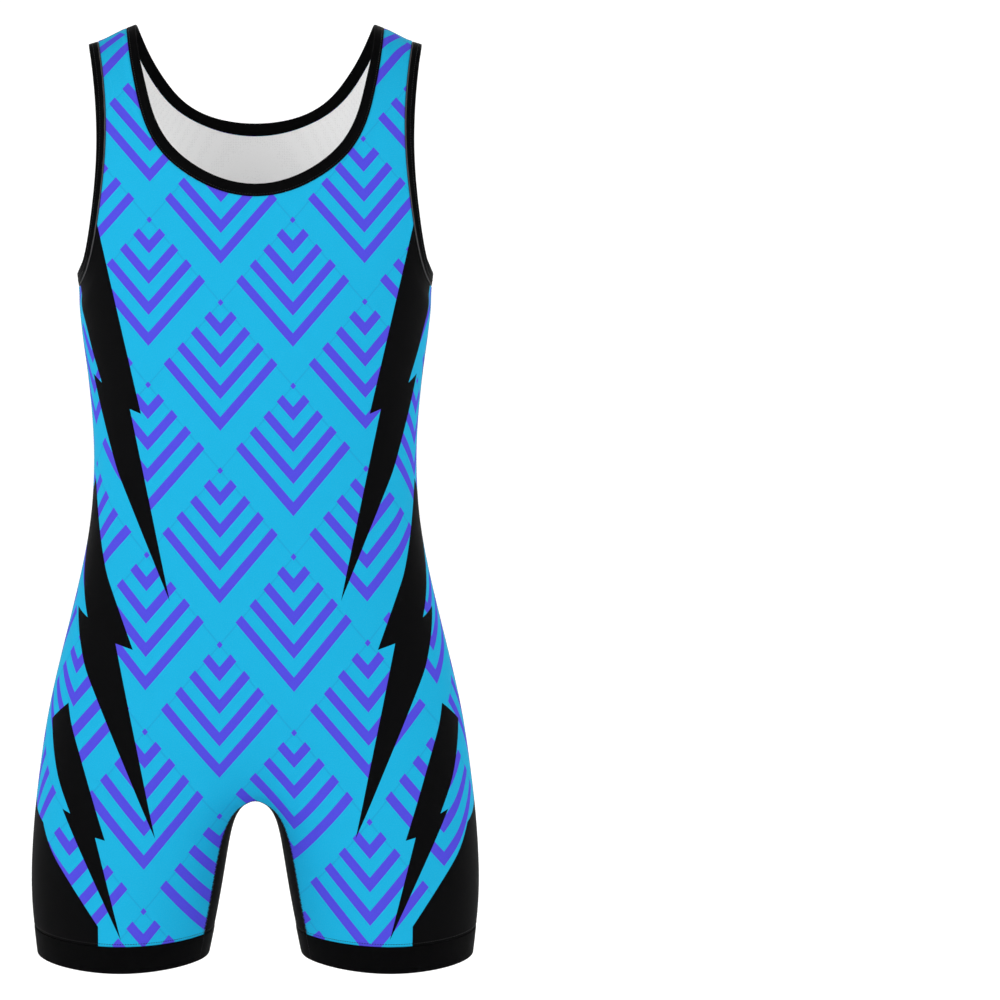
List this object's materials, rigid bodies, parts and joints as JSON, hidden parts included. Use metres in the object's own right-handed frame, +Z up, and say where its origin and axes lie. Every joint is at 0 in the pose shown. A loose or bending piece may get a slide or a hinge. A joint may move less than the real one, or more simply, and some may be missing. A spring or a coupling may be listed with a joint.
{
  "type": "wrestling suit",
  "caption": "hollow one-piece stretch suit with wide shoulder straps, deep round neck, bound armholes and short fitted legs with turned bands, standing filled out with no wearer",
  "frame": {"origin": "level with the tops of the two shoulder straps, midway between them, where a wearer's shoulders hold the suit", "axes": "+Z up, from the legs to the shoulders; -Y is the front of the suit; +X is the wearer's left"},
  "size_m": [0.4226, 0.2147, 0.8723],
  "materials": {
    "printed_cloth": "smooth stretch jersey, sky blue with a violet printed repeat and black flashes, white inside",
    "black_cloth": "smooth black stretch jersey and folded binding"
  },
  "bodies": {
    "root": {"front_panel": "printed_cloth", "back_panel": "printed_cloth", "gusset": "black_cloth", "neck_binding": "black_cloth", "armhole_binding_left": "black_cloth", "armhole_binding_right": "black_cloth", "leg_band_left": "black_cloth", "leg_band_right": "black_cloth"}
  },
  "joints": []
}
